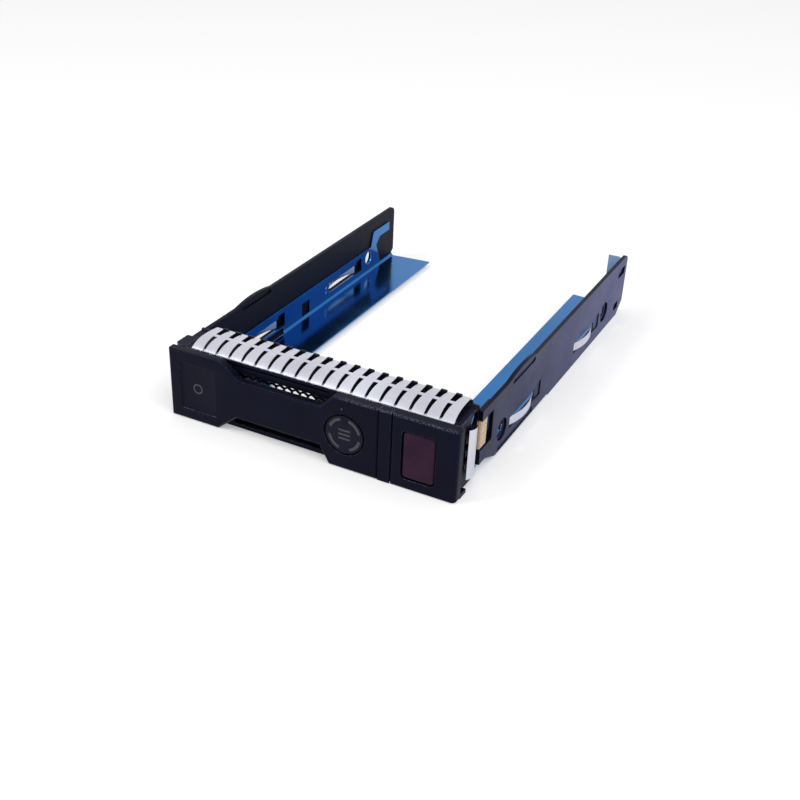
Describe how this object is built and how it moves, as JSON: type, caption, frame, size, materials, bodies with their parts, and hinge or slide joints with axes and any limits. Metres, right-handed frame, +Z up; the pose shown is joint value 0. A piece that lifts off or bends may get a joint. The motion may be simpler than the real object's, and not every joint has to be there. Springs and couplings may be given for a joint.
{
  "type": "hot swap drive caddy",
  "caption": "Server drive carrier: front frame with swinging lever, release button, ring lamp and spring fingers, two side rails, and folded steel shelves for one drive.",
  "frame": {"origin": "on the surface it stands on, under the middle of the part; the lever's face is at -Y", "axes": "+X to the right seen from the front, +Y from the lever to the rails' rear ends, +Z up"},
  "size_m": [0.1084, 0.161, 0.0278],
  "materials": {
    "frame_plastic": "satin black moulded plastic",
    "rail_plastic": "satin black moulded plastic with a faint grain",
    "blue_steel": "glossy blue coated sheet steel",
    "spring_steel": "bright stainless spring strip",
    "screen_steel": "dark coated perforated steel",
    "arm_steel": "zinc plated steel",
    "burgundy_plastic": "satin burgundy moulded plastic",
    "ring_black": "smooth black plastic",
    "clear_guide": "milky grey light guide",
    "board_face": "bare circuit board",
    "lamp_board_face": "green circuit board",
    "gold_contact": "gold plated contacts",
    "amber_flex": "amber flexible circuit",
    "blue_film": "thin pale blue film"
  },
  "bodies": {
    "carrier": {"bezel_frame": "frame_plastic", "vent_screen": "screen_steel", "pivot_pin": "arm_steel", "light_pipe": "clear_guide", "lamp_board": "lamp_board_face", "flex_circuit": "amber_flex", "contact_board": "board_face", "contact_pads": "gold_contact", "finger_strip": "spring_steel", "side_spring": "spring_steel", "catch_spring": "spring_steel", "film_tab": "blue_film", "right_rail": "rail_plastic", "left_rail": "rail_plastic", "right_bracket": "blue_steel", "left_bracket": "blue_steel", "right_rivets": "arm_steel", "left_rivets": "arm_steel", "left_front_leaf": "spring_steel", "left_rear_leaf": "spring_steel", "right_front_leaf": "spring_steel", "right_rear_leaf": "spring_steel"},
    "lever": {"lever_cover": "frame_plastic", "lever_end_cap": "frame_plastic", "lever_arm": "arm_steel", "ring_disc": "ring_black", "ring_lens": "clear_guide"},
    "button": {"release_button": "burgundy_plastic"},
    "catch": {"release_catch": "frame_plastic"}
  },
  "joints": [
    {"name": "lever_swing", "type": "hinge", "parent": "carrier", "child": "lever", "pos_m": [-0.0505, -0.0736, 0.0125], "axis": [0, 0, -1], "range_deg": [0, 50]},
    {"name": "button_press", "type": "slide", "parent": "carrier", "child": "button", "axis": [0, 1, 0], "range_m": [0, 0.0025], "stiffness_N_per_m": 400},
    {"name": "catch_slide", "type": "slide", "parent": "carrier", "child": "catch", "axis": [1, 0, 0], "range_m": [0, 0.0025], "deforming": ["catch_spring"]}
  ],
  "couplings": [
    {"joint": "catch_slide", "follows": "button_press", "ratio": 1}
  ]
}
